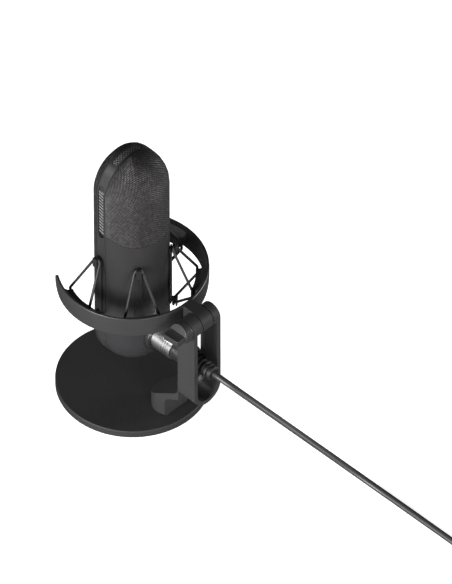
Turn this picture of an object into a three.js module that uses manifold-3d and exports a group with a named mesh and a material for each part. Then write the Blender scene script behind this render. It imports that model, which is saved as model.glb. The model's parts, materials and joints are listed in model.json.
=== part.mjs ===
// Desktop condenser microphone: a round weighted base, a forked stand with a tilting shock ring,
// a side-address microphone hung in elastic bands, and an XLR lead.
// Millimetres, +Z up. Origin at the centre of the base's underside. The microphone's plain rear
// faces +Y, its front faces -Y, and the clamp knob is on the +X side.
import * as THREE from 'three';
import { mergeVertices } from 'three/addons/utils/BufferGeometryUtils.js';
import Module from 'manifold-3d';

const wasm = await Module();
wasm.setup();

// ---- driving dimensions ------------------------------------------------------------------------
const gap = 0.3; // clearance between pieces that touch

const baseRadius = 59.9;
const baseHeight = 7.05; // top of the plate above the table
const baseChamfer = 0.55;
const padRadius = 56;
const padHeight = 1.7;
const padProud = 0.5; // how far the pad lifts the plate off the table

const hingeY = 71.9;
const hingeHeight = 112; // above the base's top
const earRadius = 9.04;
const forkHalfWidth = 14.15;
const strapThickness = 3.5;
const forkBendHeight = 43.3; // centre of the fork's round bottom above the base's top
const knuckleLow = -6.5; // the centre knuckle's two faces along X
const knuckleHigh = 3.9;
const studRadius = 3;
const footY = 39.8;
const footTopHeight = 20.2; // sloped top, at the foot's axis
const footSlope = 0.7;
const footBackY = 48.5;
const armUndersideSlope = 0.63;
const screwSpread = 6.5;
const screwRadius = 2;
const screwHeadRadius = 3.8;
const screwLength = 12;

const knobRadius = 9.04;
const knobRoundLength = 5.9;
const knobRampLength = 1.9;
const knobWingReach = 10.4;
const knobWingThickness = 5.2;
const knobWingWidth = 15.3;
const knobTurnDegrees = 3.5;

const ringRadius = 59;
const ringHeight = 18;
const ringRimWidth = 1.8;
const ringFootRadius = 58.2; // outer radius at the ring's lower edge
const ringFootInner = 55.2;
const ringEndDegrees = 40; // how far in front of the X axis each end reaches
const stubDepth = 15;
const rackInner = 48.6;
const rackLow = 3.5; // rack's underside above the ring's lower edge
const rackTall = 6.5;
const rackHalfDegrees = 13.4;

const bodyRadius = 28.9; // round rear half
const bodyFront = 18.8; // front face ahead of the X axis plane
const bodyCorner = 11.5;
const bodyLowCentre = 61.6; // above the base's top
const bodyHighCentre = 210.6;
const wall = 1.6;
const bandRear = 0; // side band frame, rear and front edges along Y
const bandFront = -9.3;
const grilleFoot = 167; // rear grille's lower edge above the base's top
const grilleCorner = 12;
const ventWidth = 5.2;
const sideVentFoot = 168.5;
const sideVentHead = 221;
const topVentLength = 29.6;

const railRadius = bodyRadius;
const railShift = 5.6; // front rails ahead of the X axis
const railThickness = 1.3;
const railWidth = 5.4;
const railHead = 148.2; // above the base's top
const railFoot = 83.6;
const hookPostWidth = 2.6;
const hookReach = 3.2;
const hookCapThickness = 1.3;
const hookCapWidth = 4.2;
const hookCapHeight = 8.7;
const bandRadius = 1;
const bandAnchorDegrees = 15.2;
const bandAnchorRadius = 49.9;

const portHeight = 65.4; // XLR axis above the base's top
const socketRadius = 13;
const socketFaceY = 29.4;
const plugShellRadius = 9.85;
const plugShellLength = 19;
const bootFrontRadius = 8.6;
const bootEndRadius = 5.2;
const bootLength = 28.6;
const cableRadius = 2.55;
const coilRadius = 29.8;
const coilBundle = 11.5;

const capsuleRadius = 17;
const capsuleThickness = 12;
const boardWidth = 34;
const boardHeight = 78;

// ---- derived places ----------------------------------------------------------------------------
const top = baseHeight;
const hingeZ = top + hingeHeight;
const ringTop = hingeZ + earRadius;
const ringFoot = ringTop - ringHeight;
const portZ = top + portHeight;
const plugRearY = socketFaceY + gap + plugShellLength;

// ---- tools -------------------------------------------------------------------------------------
const group = new THREE.Group();

function toSolid(geometry) {
  const bare = new THREE.BufferGeometry();
  bare.setAttribute('position', geometry.getAttribute('position').clone());
  if (geometry.index) bare.setIndex(geometry.index.clone());
  const merged = mergeVertices(bare, 1e-4);
  const spots = merged.getAttribute('position').array;
  const corners = merged.index.array;
  const kept = [];
  let volume = 0;
  for (let i = 0; i < corners.length; i += 3) {
    const [a, b, c] = [corners[i], corners[i + 1], corners[i + 2]];
    if (a === b || b === c || c === a) continue;
    kept.push(a, b, c);
    const [p, q, r] = [a, b, c].map((n) => new THREE.Vector3().fromArray(spots, n * 3));
    volume += p.dot(q.cross(r));
  }
  if (volume < 0) {
    for (let i = 0; i < kept.length; i += 3) [kept[i + 1], kept[i + 2]] = [kept[i + 2], kept[i + 1]];
  }
  const mesh = new wasm.Mesh({
    numProp: 3,
    vertProperties: new Float32Array(spots),
    triVerts: new Uint32Array(kept),
  });
  return new wasm.Manifold(mesh);
}

function toGeometry(solid) {
  const mesh = solid.getMesh();
  const geometry = new THREE.BufferGeometry();
  geometry.setAttribute('position', new THREE.BufferAttribute(new Float32Array(mesh.vertProperties), 3));
  geometry.setIndex(new THREE.BufferAttribute(new Uint32Array(mesh.triVerts), 1));
  const flat = geometry.toNonIndexed();
  flat.computeVertexNormals();
  return flat;
}

function finish(colour, roughness, metalness = 0) {
  return new THREE.MeshStandardMaterial({ color: colour, roughness, metalness });
}

function piece(name, solid, material) {
  const mesh = new THREE.Mesh(toGeometry(solid), material);
  mesh.name = name;
  group.add(mesh);
  return mesh;
}

// A profile of [radius, height] pairs turned about Z and moved to a place.
function turned(profile, segments, place = [0, 0, 0]) {
  const points = profile.map(([r, z]) => new THREE.Vector2(r, z));
  const first = points[0];
  const last = points[points.length - 1];
  if (first.x > 0 || last.x > 0) points.push(first.clone());
  const geometry = new THREE.LatheGeometry(points, segments);
  geometry.rotateX(Math.PI / 2);
  geometry.translate(...place);
  return toSolid(geometry);
}

// The same profile turned about the X or Y axis; the height runs along that axis.
function turnedAlong(axis, profile, segments, place) {
  const points = profile.map(([r, z]) => new THREE.Vector2(r, z));
  const first = points[0];
  const last = points[points.length - 1];
  if (first.x > 0 || last.x > 0) points.push(first.clone());
  const geometry = new THREE.LatheGeometry(points, segments);
  if (axis === 'x') geometry.rotateZ(-Math.PI / 2);
  geometry.translate(...place);
  return toSolid(geometry);
}

function rod(axis, radius, from, to, place, segments = 24) {
  const profile = [[0, from], [radius, from], [radius, to], [0, to]];
  if (axis === 'z') return turned(profile, segments, place);
  return turnedAlong(axis, profile, segments, place);
}

function block(low, high) {
  const size = high.map((value, i) => value - low[i]);
  const geometry = new THREE.BoxGeometry(...size);
  geometry.translate(...low.map((value, i) => value + size[i] / 2));
  return toSolid(geometry);
}

function shapeOf(points) {
  return new THREE.Shape(points.map(([x, y]) => new THREE.Vector2(x, y)));
}

// A flat outline pushed along an axis. For 'x' the outline is (Y, Z), for 'y' it is (X, Z).
function pushed(axis, shape, from, to, curveSegments = 8) {
  const geometry = new THREE.ExtrudeGeometry(shape, {
    depth: to - from,
    bevelEnabled: false,
    curveSegments,
  });
  const turn = new THREE.Matrix4();
  if (axis === 'z') turn.makeTranslation(0, 0, from);
  if (axis === 'x') {
    turn.makeBasis(new THREE.Vector3(0, 1, 0), new THREE.Vector3(0, 0, 1), new THREE.Vector3(1, 0, 0));
    turn.premultiply(new THREE.Matrix4().makeTranslation(from, 0, 0));
  }
  if (axis === 'y') {
    turn.makeBasis(new THREE.Vector3(1, 0, 0), new THREE.Vector3(0, 0, 1), new THREE.Vector3(0, -1, 0));
    turn.premultiply(new THREE.Matrix4().makeTranslation(0, to, 0));
  }
  geometry.applyMatrix4(turn);
  return toSolid(geometry);
}

function tube(points, radius, sides, steps, closed = false) {
  const curve = new THREE.CatmullRomCurve3(points.map((p) => new THREE.Vector3(...p)), closed, 'centripetal');
  return tubeOn(curve, radius, sides, steps);
}

function tubeOn(curve, radius, sides, steps) {
  const section = new THREE.Shape();
  for (let i = 0; i < sides; i += 1) {
    const angle = (i / sides) * 2 * Math.PI;
    const [x, y] = [radius * Math.cos(angle), radius * Math.sin(angle)];
    if (i === 0) section.moveTo(x, y);
    else section.lineTo(x, y);
  }
  const geometry = new THREE.ExtrudeGeometry(section, { steps, extrudePath: curve });
  return toSolid(geometry);
}

function slotShape(width, low, high, across = 0) {
  const half = width / 2;
  const shape = new THREE.Shape();
  shape.moveTo(across - half, low + half);
  shape.absarc(across, low + half, half, Math.PI, 2 * Math.PI, false);
  shape.lineTo(across + half, high - half);
  shape.absarc(across, high - half, half, 0, Math.PI, false);
  return shape;
}

const degrees = Math.PI / 180;

// ---- finishes ----------------------------------------------------------------------------------
const castGrey = finish(0x2b2c2e, 0.5, 0.6);
const bodyGrey = finish(0x333437, 0.45, 0.5);
const blackPlastic = finish(0x141415, 0.55);
const rubberBlack = finish(0x101011, 0.85);
const meshGrey = finish(0x3a3637, 0.6, 0.5);
const steelFinish = finish(0xb9babc, 0.35, 0.95);
const chromeFinish = finish(0xe6e6e8, 0.12, 1);
const boardGreen = finish(0x1d3b2a, 0.6);
const brassFinish = finish(0xc29a4a, 0.35, 0.9);
const cableGrey = finish(0x2a2a2c, 0.6);

// ---- base --------------------------------------------------------------------------------------
const plateProfile = [
  [0, padHeight + gap],
  [padRadius + gap, padHeight + gap],
  [padRadius + gap, padProud],
  [baseRadius - 0.5, padProud],
  [baseRadius, padProud + 0.5],
  [baseRadius, top - baseChamfer],
  [baseRadius - baseChamfer, top],
  [0, top],
];
let basePlate = turned(plateProfile, 60);
const screwSeat = padHeight + gap + 2.2;
for (const side of [-1, 1]) {
  const place = [side * screwSpread, footY, 0];
  basePlate = basePlate.subtract(rod('z', screwRadius + gap, 0, top + 1, place, 16));
  basePlate = basePlate.subtract(rod('z', screwHeadRadius + gap, 0, screwSeat, place, 16));
}
piece('base_plate', basePlate, castGrey);
piece('base_pad', turned([[0, 0], [padRadius, 0], [padRadius, padHeight], [0, padHeight]], 48), rubberBlack);

// ---- stand bracket -----------------------------------------------------------------------------
const footLow = top + gap;
const footTop = (y) => top + footTopHeight + footSlope * (y - footY);
const forkFrontY = hingeY - earRadius;
const forkRearY = hingeY + earRadius;
const bendZ = top + forkBendHeight;
const forkBottom = bendZ - forkHalfWidth;

// The foot is a round post cut flat at the back and by the sloped top.
const footPost = rod('z', forkHalfWidth, footLow, top + 60, [0, footY, 0], 40);
const slopeReach = 26;
const slopeCutter = pushed('x', shapeOf([
  [footY - slopeReach, footTop(footY - slopeReach)],
  [forkRearY, footTop(forkRearY)],
  [forkRearY, top + 90],
  [footY - slopeReach, top + 90],
]), -40, 40);
const footBlock = footPost
  .subtract(slopeCutter)
  .subtract(block([-40, footBackY, 0], [40, 90, top + 90]));

// The arm runs from the foot up to the fork's front face.
const undersideAt = (y) => forkBottom - armUndersideSlope * (forkFrontY - y);
const armShape = new THREE.Shape();
const cornerReach = 4;
armShape.moveTo(footY, footLow + 2);
armShape.lineTo(footBackY, footLow + 2);
armShape.lineTo(footBackY, undersideAt(footBackY) - cornerReach);
armShape.quadraticCurveTo(
  footBackY, undersideAt(footBackY),
  footBackY + cornerReach, undersideAt(footBackY + cornerReach),
);
armShape.lineTo(forkFrontY + 0.5, undersideAt(forkFrontY + 0.5));
armShape.lineTo(forkFrontY + 0.5, footTop(forkFrontY));
armShape.lineTo(forkFrontY, footTop(forkFrontY));
armShape.lineTo(footY, footTop(footY));
armShape.closePath();
const arm = pushed('x', armShape, -forkHalfWidth, forkHalfWidth);
const trough = rod('y', forkHalfWidth - strapThickness, footY + 16, forkRearY + 5, [0, 0, bendZ], 40);

// The fork is a flat strap bent into a U, with full-round hinge ears on its ends.
const forkOutline = new THREE.Shape();
forkOutline.moveTo(-forkHalfWidth, hingeZ);
forkOutline.lineTo(-forkHalfWidth, bendZ);
forkOutline.absarc(0, bendZ, forkHalfWidth, Math.PI, 2 * Math.PI, false);
forkOutline.lineTo(forkHalfWidth, hingeZ);
forkOutline.lineTo(forkHalfWidth - strapThickness, hingeZ);
forkOutline.lineTo(forkHalfWidth - strapThickness, bendZ);
forkOutline.absarc(0, bendZ, forkHalfWidth - strapThickness, 2 * Math.PI, Math.PI, true);
forkOutline.lineTo(-forkHalfWidth + strapThickness, hingeZ);
forkOutline.closePath();
const forkStrap = pushed('y', forkOutline, forkFrontY, forkRearY, 14);

// Rounded inside corners where the uprights' front edges run into the arm.
const filletReach = 4;
const filletShape = new THREE.Shape();
const filletFoot = footTop(forkFrontY);
filletShape.moveTo(forkFrontY + 0.5, filletFoot - 4);
filletShape.lineTo(forkFrontY + 0.5, filletFoot + filletReach + 1);
filletShape.lineTo(forkFrontY, filletFoot + filletReach + 1);
filletShape.quadraticCurveTo(
  forkFrontY, filletFoot,
  forkFrontY - filletReach, footTop(forkFrontY - filletReach),
);
filletShape.lineTo(forkFrontY - filletReach, filletFoot - 5);
filletShape.closePath();
const fillets = pushed('x', filletShape, -forkHalfWidth, forkHalfWidth, 5);

const ear = (from, to) => rod('x', earRadius, from, to, [0, hingeY, hingeZ], 32);
const knuckleGap = 0.9; // room for a washer each side of the knuckle
let bracket = footBlock
  .add(arm)
  .add(fillets)
  .subtract(trough)
  .add(forkStrap)
  .add(ear(-forkHalfWidth, knuckleLow - knuckleGap))
  .add(ear(knuckleHigh + knuckleGap, forkHalfWidth));
const nutDepth = 3.2;
const nutRadius = 5.2;
bracket = bracket
  .subtract(rod('x', studRadius + gap, -20, 20, [0, hingeY, hingeZ], 20))
  .subtract(rod('x', nutRadius + gap, -20, -(forkHalfWidth - nutDepth - 0.6), [0, hingeY, hingeZ], 6));
const threadTop = footLow + screwLength - 3;
for (const side of [-1, 1]) {
  bracket = bracket.subtract(rod('z', screwRadius + gap, 0, threadTop, [side * screwSpread, footY, 0], 16));
}
piece('stand_bracket', bracket, castGrey);

const screwProfile = [
  [0, padHeight + 2 * gap],
  [screwHeadRadius, padHeight + 2 * gap],
  [screwHeadRadius, screwSeat - gap],
  [screwRadius, screwSeat - gap],
  [screwRadius, threadTop - gap],
  [0, threadTop - gap],
];
piece('base_screw_left', turned(screwProfile, 16, [-screwSpread, footY, 0]), steelFinish);
piece('base_screw_right', turned(screwProfile, 16, [screwSpread, footY, 0]), steelFinish);

// ---- hinge hardware ----------------------------------------------------------------------------
const washerProfile = (from, to) => [
  [studRadius + gap, from],
  [earRadius - 0.6, from],
  [earRadius - 0.6, to],
  [studRadius + gap, to],
];
const hingePlace = [0, hingeY, hingeZ];
piece('hinge_washer_left', turnedAlong('x', washerProfile(knuckleLow - knuckleGap + gap, knuckleLow - gap),
  20, hingePlace), blackPlastic);
piece('hinge_washer_right', turnedAlong('x', washerProfile(knuckleHigh + gap, knuckleHigh + knuckleGap - gap),
  20, hingePlace), blackPlastic);
const nut = rod('x', nutRadius, -(forkHalfWidth - 0.3), -(forkHalfWidth - nutDepth - 0.3), hingePlace, 6)
  .subtract(rod('x', studRadius + gap, -20, 20, hingePlace, 20));
piece('hinge_nut', nut, steelFinish);

// ---- wing knob ---------------------------------------------------------------------------------
// Drawn about its own axis, then set on the hinge and turned a little off level.
const knobFace = forkHalfWidth + gap;
const knobRoundEnd = knobFace + knobRoundLength;
const wingEnd = knobRoundEnd + knobWingReach;
const wingHalf = knobWingThickness / 2;
const own = [0, 0, 0];
const roundPart = turnedAlong('x', [
  [0, knobFace],
  [knobRadius - 0.5, knobFace],
  [knobRadius, knobFace + 0.5],
  [knobRadius, knobRoundEnd],
  [0, knobRoundEnd],
], 36, own);
const ramp = pushed('y', shapeOf([
  [knobRoundEnd - 1, -knobRadius],
  [knobRoundEnd, -knobRadius],
  [knobRoundEnd + knobRampLength, -wingHalf],
  [knobRoundEnd + knobRampLength, wingHalf],
  [knobRoundEnd, knobRadius],
  [knobRoundEnd - 1, knobRadius],
]), -knobRadius, knobRadius).intersect(rod('x', knobRadius, 0, wingEnd, own, 36));
const wing = block(
  [knobRoundEnd - 1, -knobWingWidth / 2, -wingHalf],
  [wingEnd, knobWingWidth / 2, wingHalf],
);
const studEnd = -(forkHalfWidth - 1);
const studHead = knobFace + 4;
const knobSolid = roundPart.add(ramp).add(wing)
  .subtract(rod('x', studRadius + gap, 0, studHead + gap, own, 16));
const knob = piece('hinge_knob', knobSolid, castGrey);
knob.position.set(0, hingeY, hingeZ);
knob.rotation.x = knobTurnDegrees * degrees;
piece('hinge_stud', rod('x', studRadius, studEnd, studHead, hingePlace, 16), steelFinish);

// ---- shock ring --------------------------------------------------------------------------------
const ringSection = [
  [ringRadius - ringRimWidth, ringTop],
  [ringRadius - 0.4, ringTop],
  [ringRadius, ringTop - 0.5],
  [ringRadius, ringTop - ringHeight * 0.55],
  [(ringRadius + ringFootRadius) / 2 + 0.15, ringTop - ringHeight * 0.8],
  [ringFootRadius, ringFoot],
  [ringFootInner, ringFoot],
  [ringFootInner + 0.7, ringFoot + 4.5],
  [ringRadius - ringRimWidth - 0.25, ringFoot + 10.5],
];
const fullRing = turned(ringSection, 72);
const ringMid = (ringTop + ringFoot) / 2;
const endRound = ringHeight / 2;
function ringEndCutter(side) {
  // Removes everything ahead of a half-round end. Drawn in the plane that touches the ring there.
  const shape = new THREE.Shape();
  shape.moveTo(-endRound, endRound + 2);
  shape.lineTo(-endRound, endRound);
  shape.absarc(-endRound, 0, endRound, Math.PI / 2, -Math.PI / 2, true);
  shape.lineTo(-endRound, -endRound - 2);
  shape.lineTo(60, -endRound - 2);
  shape.lineTo(60, endRound + 2);
  shape.closePath();
  const geometry = new THREE.ExtrudeGeometry(shape, { depth: 30, bevelEnabled: false, curveSegments: 14 });
  const angle = side > 0 ? -ringEndDegrees * degrees : Math.PI + ringEndDegrees * degrees;
  const outward = new THREE.Vector3(Math.cos(angle), Math.sin(angle), 0);
  const ahead = new THREE.Vector3(side > 0 ? Math.sin(angle) : -Math.sin(angle),
    side > 0 ? -Math.cos(angle) : Math.cos(angle), 0);
  const upward = new THREE.Vector3(0, 0, 1);
  const basis = new THREE.Matrix4().makeBasis(ahead, upward, outward);
  basis.setPosition(outward.clone().multiplyScalar(40).setZ(ringMid));
  geometry.applyMatrix4(basis);
  return toSolid(geometry);
}
const frontCut = block([-38, -90, ringFoot - 5], [38, -35, ringTop + 5]);
let ring = fullRing.subtract(ringEndCutter(1)).subtract(ringEndCutter(-1)).subtract(frontCut);

// Each rail stands square to its facing; its rack is centred on a direction seen from the axis.
const railSpots = {
  front_left: { facing: 180, shift: -railShift, rack: 191 },
  front_right: { facing: 0, shift: -railShift, rack: -11 },
  rear_right: { facing: 53.7, shift: 0, rack: 53.7 },
  rear_left: { facing: 126.3, shift: 0, rack: 126.3 },
};

// Racks: solid ledges inside the ring that the bands hook over.
const rackBottom = ringFoot + rackLow;
const rackTop = rackBottom + rackTall;
const rackSection = [
  [rackInner, rackBottom],
  [ringFootInner + 2.6, rackBottom],
  [ringFootInner + 2.6, rackTop + 4.5],
  [ringFootInner - 2.9, rackTop],
  [rackInner, rackTop],
];
const fullRack = turned(rackSection, 72);
function sector(centreDegrees, halfDegrees, reach, low, high) {
  const a = (centreDegrees - halfDegrees) * degrees;
  const b = (centreDegrees + halfDegrees) * degrees;
  const shape = shapeOf([
    [0, 0],
    [reach * Math.cos(a), reach * Math.sin(a)],
    [reach * Math.cos(b), reach * Math.sin(b)],
  ]);
  return pushed('z', shape, low, high);
}
for (const { rack } of Object.values(railSpots)) {
  ring = ring.add(fullRack.intersect(sector(rack, rackHalfDegrees, 90, rackBottom - 1, ringTop)));
}

// Stub with the hinge knuckle: flat on top, level with the rim, rounded over at the hinge.
const stubFront = ringRadius - 2;
const stubShape = new THREE.Shape();
stubShape.moveTo(stubFront, ringTop);
stubShape.lineTo(hingeY, ringTop);
stubShape.absarc(hingeY, hingeZ, earRadius, Math.PI / 2, -Math.PI / 2, true);
stubShape.lineTo(hingeY - earRadius, ringTop - stubDepth - 1);
stubShape.lineTo(stubFront, ringTop - stubDepth);
stubShape.closePath();
const stub = pushed('x', stubShape, knuckleLow, knuckleHigh, 20);
ring = ring.add(stub).subtract(rod('x', studRadius + gap, -20, 20, hingePlace, 20));
piece('shock_ring', ring, castGrey);

// ---- microphone body ---------------------------------------------------------------------------
// Half of the body's plan outline, from the middle of the back to the middle of the front.
function halfOutline(inset) {
  const points = [];
  const rearSteps = 8;
  const r = bodyRadius - inset;
  for (let i = 0; i <= rearSteps; i += 1) {
    const angle = Math.PI / 2 - (i / rearSteps) * (Math.PI / 2);
    points.push([r * Math.cos(angle), r * Math.sin(angle)]);
  }
  const corner = bodyCorner - inset;
  const centre = [bodyRadius - bodyCorner, -(bodyFront - bodyCorner)];
  const cornerSteps = 4;
  for (let i = 0; i <= cornerSteps; i += 1) {
    const angle = -(i / cornerSteps) * (Math.PI / 2);
    points.push([centre[0] + corner * Math.cos(angle), centre[1] + corner * Math.sin(angle)]);
  }
  points[0][0] = 0;
  points.push([0, -(bodyFront - inset)]);
  return points;
}

// The plan outline carried along a long loop: straight sides, half-round head and foot.
function bodyForm(inset) {
  const half = halfOutline(inset);
  const whole = half.concat(half.slice(1, -1).reverse().map(([x, y]) => [-x, y]));
  const lowZ = top + bodyLowCentre;
  const highZ = top + bodyHighCentre;
  const shaft = pushed('z', shapeOf(whole), lowZ, highZ);
  const end = (z) => turnedAlong('y', half, 36, [0, 0, z]);
  return shaft.add(end(lowZ)).add(end(highZ));
}

const outerForm = bodyForm(0);
const innerForm = bodyForm(wall);
const skin = outerForm.subtract(innerForm);
const far = 400;
const grilleZ = top + grilleFoot;

function grilleShape(reach) {
  // Outline on the back: a wide slot with rounded lower corners, open at the top.
  const halfWidth = bodyRadius + 2;
  const low = grilleZ - reach;
  const shape = new THREE.Shape();
  shape.moveTo(-halfWidth, far);
  shape.lineTo(-halfWidth, low + grilleCorner);
  shape.quadraticCurveTo(-halfWidth + 1.2, low + 1.6, -halfWidth + grilleCorner, low + 0.5);
  shape.lineTo(0, low);
  shape.lineTo(halfWidth - grilleCorner, low + 0.5);
  shape.quadraticCurveTo(halfWidth - 1.2, low + 1.6, halfWidth, low + grilleCorner);
  shape.lineTo(halfWidth, far);
  shape.closePath();
  return shape;
}
const seam = 0.15;
const rearHalf = block([-60, bandRear + seam, 0], [60, 60, far]);
const grilleZone = pushed('y', grilleShape(0), -1, 60);
const grilleZoneWide = pushed('y', grilleShape(gap), -1, 60);
const rearGrille = skin.intersect(rearHalf).intersect(grilleZone);
piece('rear_grille', rearGrille, meshGrey);

const socketHole = rod('y', socketRadius + gap, 10, 60, [0, 0, portZ], 32);
const rearShell = skin.intersect(rearHalf).subtract(grilleZoneWide).subtract(socketHole);
piece('rear_shell', rearShell, bodyGrey);

const bandZone = block([-60, bandFront + seam, 0], [60, bandRear - seam, far]);
const ventY = (bandRear + bandFront) / 2 + 0.35;
const sideSlot = (grow) => pushed('x',
  slotShape(ventWidth + 2 * grow, top + sideVentFoot - grow, top + sideVentHead + grow, ventY), -60, 60, 6);
const topSlotShape = (grow) => {
  const half = ventWidth / 2 + grow;
  const reach = topVentLength / 2 - ventWidth / 2;
  const shape = new THREE.Shape();
  shape.moveTo(-reach, ventY - half);
  shape.lineTo(reach, ventY - half);
  shape.absarc(reach, ventY, half, -Math.PI / 2, Math.PI / 2, false);
  shape.lineTo(-reach, ventY + half);
  shape.absarc(-reach, ventY, half, Math.PI / 2, 1.5 * Math.PI, false);
  return shape;
};
const topSlot = (grow) => pushed('z', topSlotShape(grow), top + bodyHighCentre + 8, far, 6);
const sideBand = skin.intersect(bandZone).subtract(sideSlot(gap)).subtract(topSlot(gap));
piece('side_band', sideBand, bodyGrey);
const ventSkin = bodyForm(0.45).subtract(innerForm);
const leftHalf = block([-60, -60, 0], [-5, 60, far]);
const rightHalf = block([5, -60, 0], [60, 60, far]);
piece('side_vent_left', ventSkin.intersect(sideSlot(0)).intersect(leftHalf), blackPlastic);
piece('side_vent_right', ventSkin.intersect(sideSlot(0)).intersect(rightHalf), blackPlastic);
piece('top_vent', ventSkin.intersect(topSlot(0)), blackPlastic);

const frontZone = block([-60, -60, 0], [60, bandFront - seam, far]);
piece('front_grille', skin.intersect(frontZone), meshGrey);

// ---- suspension rails --------------------------------------------------------------------------
const hookTopZ = top + railHead;
const hookFootZ = top + railFoot;
// Built square to the X axis, then turned to its facing.
function rail() {
  const back = railRadius + gap;
  const face = back + railThickness;
  const stripInset = 2.6;
  const strip = block([back, -railWidth / 2, hookFootZ + stripInset], [face, railWidth / 2, hookTopZ - stripInset]);
  const postInner = face - 0.2;
  const postOuter = face + hookReach;
  const capOuter = postOuter + hookCapThickness;
  const postHalf = hookPostWidth / 2;
  const capHalf = hookCapWidth / 2;
  const postInset = 2 * bandRadius + 1.3;
  const upperPost = block([postInner, -postHalf, hookTopZ - hookCapHeight + 1],
    [postOuter + 0.2, postHalf, hookTopZ - postInset]);
  const upperCap = block([postOuter, -capHalf, hookTopZ - hookCapHeight], [capOuter, capHalf, hookTopZ]);
  const lowerPost = block([postInner, -postHalf, hookFootZ + postInset],
    [postOuter + 0.2, postHalf, hookFootZ + hookCapHeight - 1]);
  const lowerCap = block([postOuter, -capHalf, hookFootZ], [capOuter, capHalf, hookFootZ + hookCapHeight]);
  return strip.add(upperPost).add(upperCap).add(lowerPost).add(lowerCap);
}
for (const [name, { facing, shift }] of Object.entries(railSpots)) {
  const mesh = piece(`suspension_rail_${name}`, rail(), blackPlastic);
  mesh.rotation.z = facing * degrees;
  mesh.position.y = shift;
}

// ---- elastic bands -----------------------------------------------------------------------------
const hookCentre = railRadius + gap + railThickness + hookReach / 2;
function bandPoints({ facing, shift, rack }) {
  const a = facing * degrees;
  const atHook = (out, side, z) => [
    out * Math.cos(a) - side * Math.sin(a),
    out * Math.sin(a) + side * Math.cos(a) + shift,
    z,
  ];
  const atRack = (way, z) => {
    const b = (rack + way * bandAnchorDegrees) * degrees;
    return [bandAnchorRadius * Math.cos(b), bandAnchorRadius * Math.sin(b), z];
  };
  const wrap = hookPostWidth / 2 + bandRadius + gap;
  const upperZ = hookTopZ - bandRadius - gap;
  const lowerZ = hookFootZ + bandRadius + gap;
  const ledge = 0.6;
  return [
    atHook(hookCentre, 0, upperZ),
    atHook(hookCentre, wrap * 0.8, upperZ - 0.7),
    atHook(hookCentre, wrap + 0.5, upperZ - 3),
    atRack(1, rackTop + ledge),
    atRack(1, rackBottom - ledge),
    atHook(hookCentre, wrap + 0.5, lowerZ + 3),
    atHook(hookCentre, wrap * 0.8, lowerZ + 0.7),
    atHook(hookCentre, 0, lowerZ),
    atHook(hookCentre, -wrap * 0.8, lowerZ + 0.7),
    atHook(hookCentre, -wrap - 0.5, lowerZ + 3),
    atRack(-1, rackBottom - ledge),
    atRack(-1, rackTop + ledge),
    atHook(hookCentre, -wrap - 0.5, upperZ - 3),
    atHook(hookCentre, -wrap * 0.8, upperZ - 0.7),
  ];
}

// A closed band with round section, square to its path at every point.
function loop(points, radius, sides) {
  const spots = points.map((p) => new THREE.Vector3(...p));
  const count = spots.length;
  const middle = spots.reduce((sum, p) => sum.add(p), new THREE.Vector3()).divideScalar(count);
  const positions = [];
  const plane = new THREE.Vector3();
  for (let i = 0; i < count; i += 1) {
    const here = spots[i].clone().sub(middle);
    plane.add(here.cross(spots[(i + 1) % count].clone().sub(middle)));
  }
  plane.normalize();
  for (let i = 0; i < count; i += 1) {
    const before = spots[i].clone().sub(spots[(i + count - 1) % count]).normalize();
    const after = spots[(i + 1) % count].clone().sub(spots[i]).normalize();
    const along = before.clone().add(after).normalize();
    const mitre = 1 / Math.max(0.75, along.dot(after));
    const inPlane = plane.clone().cross(along).normalize();
    const across = along.clone().cross(inPlane).normalize();
    for (let k = 0; k < sides; k += 1) {
      const angle = (k / sides) * 2 * Math.PI;
      const p = spots[i].clone()
        .addScaledVector(inPlane, radius * mitre * Math.cos(angle))
        .addScaledVector(across, radius * Math.sin(angle));
      positions.push(p.x, p.y, p.z);
    }
  }
  const faces = [];
  for (let i = 0; i < count; i += 1) {
    const j = (i + 1) % count;
    for (let k = 0; k < sides; k += 1) {
      const m = (k + 1) % sides;
      const [a, b, c, d] = [i * sides + k, i * sides + m, j * sides + m, j * sides + k];
      faces.push(a, b, c, a, c, d);
    }
  }
  const geometry = new THREE.BufferGeometry();
  geometry.setAttribute('position', new THREE.BufferAttribute(new Float32Array(positions), 3));
  geometry.setIndex(faces);
  return toSolid(geometry);
}
for (const [name, spot] of Object.entries(railSpots)) {
  piece(`elastic_band_${name}`, loop(bandPoints(spot), bandRadius, 8), rubberBlack);
}

// ---- inside the microphone ---------------------------------------------------------------------
const chassisFootZ = top + 84;
const chassisHeadZ = top + 182;
const chassisY = -3;
const chassis = block([-20, chassisY, chassisFootZ], [20, chassisY + 2, chassisHeadZ]);
piece('inner_chassis', chassis, blackPlastic);
const boardZ = top + 92;
const board = block(
  [-boardWidth / 2, chassisY + 2 + gap, boardZ],
  [boardWidth / 2, chassisY + 2 + gap + 1.6, boardZ + boardHeight],
);
piece('circuit_board', board, boardGreen);
const capsuleZ = top + 206;
const capsuleY = -1;
const capsuleHalf = capsuleThickness / 2;
const saddle = block([-9, capsuleY - 4, chassisHeadZ + gap], [9, capsuleY + 4, capsuleZ - 8])
  .subtract(rod('y', capsuleRadius + gap, -20, 20, [0, 0, capsuleZ], 28));
piece('capsule_saddle', saddle, rubberBlack);
piece('capsule_body', rod('y', capsuleRadius, capsuleY - capsuleHalf + 2, capsuleY + capsuleHalf,
  [0, 0, capsuleZ], 28), brassFinish);
const membraneRear = capsuleY - capsuleHalf + 2 - gap;
piece('capsule_ring', turnedAlong('y', [
  [capsuleRadius - 3.5, membraneRear - 1.4],
  [capsuleRadius, membraneRear - 1.4],
  [capsuleRadius, membraneRear],
  [capsuleRadius - 3.5, membraneRear],
], 28, [0, 0, capsuleZ]), brassFinish);
piece('capsule_membrane', rod('y', capsuleRadius - 3.5 - gap, membraneRear - 0.7, membraneRear - 0.2,
  [0, 0, capsuleZ], 20), steelFinish);

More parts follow.
